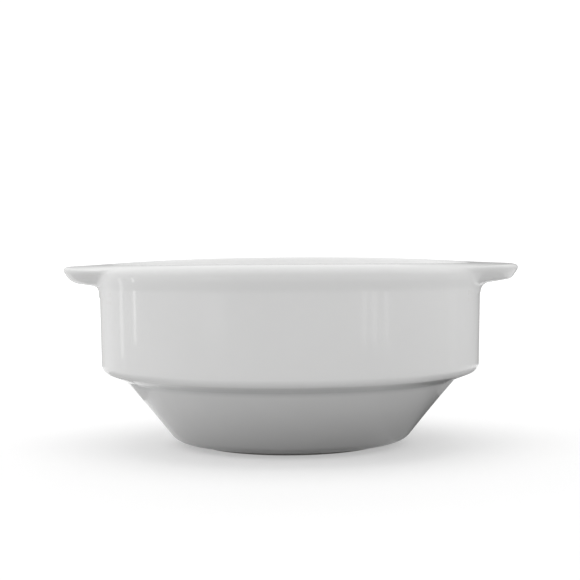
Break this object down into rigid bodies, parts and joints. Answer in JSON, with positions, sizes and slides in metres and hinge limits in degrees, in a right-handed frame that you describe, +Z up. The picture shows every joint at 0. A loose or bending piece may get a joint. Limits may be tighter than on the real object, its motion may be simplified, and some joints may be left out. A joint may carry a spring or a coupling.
{
  "type": "bouillon cup with handles",
  "caption": "Stackable porcelain bouillon cup: a straight upper wall, a stepped shoulder, a tapered base on a foot ring, and a solid lug handle on each side of the rim.",
  "frame": {"origin": "centre of the foot ring's bearing plane", "axes": "+Z up along the bowl's axis, +X through the right handle, +Y away from the viewer of the picture"},
  "size_m": [0.139, 0.117, 0.056],
  "materials": {
    "glazed_porcelain": "clear gloss glaze over white porcelain",
    "bare_porcelain": "bare fired porcelain, polished smooth, no glaze",
    "joint_slip": "fired slip, glazed over where its edge shows"
  },
  "bodies": {
    "root": {"cup_body": "glazed_porcelain", "foot_ring": "bare_porcelain", "left_handle": "glazed_porcelain", "right_handle": "glazed_porcelain", "left_handle_slip": "joint_slip", "right_handle_slip": "joint_slip"}
  },
  "joints": []
}
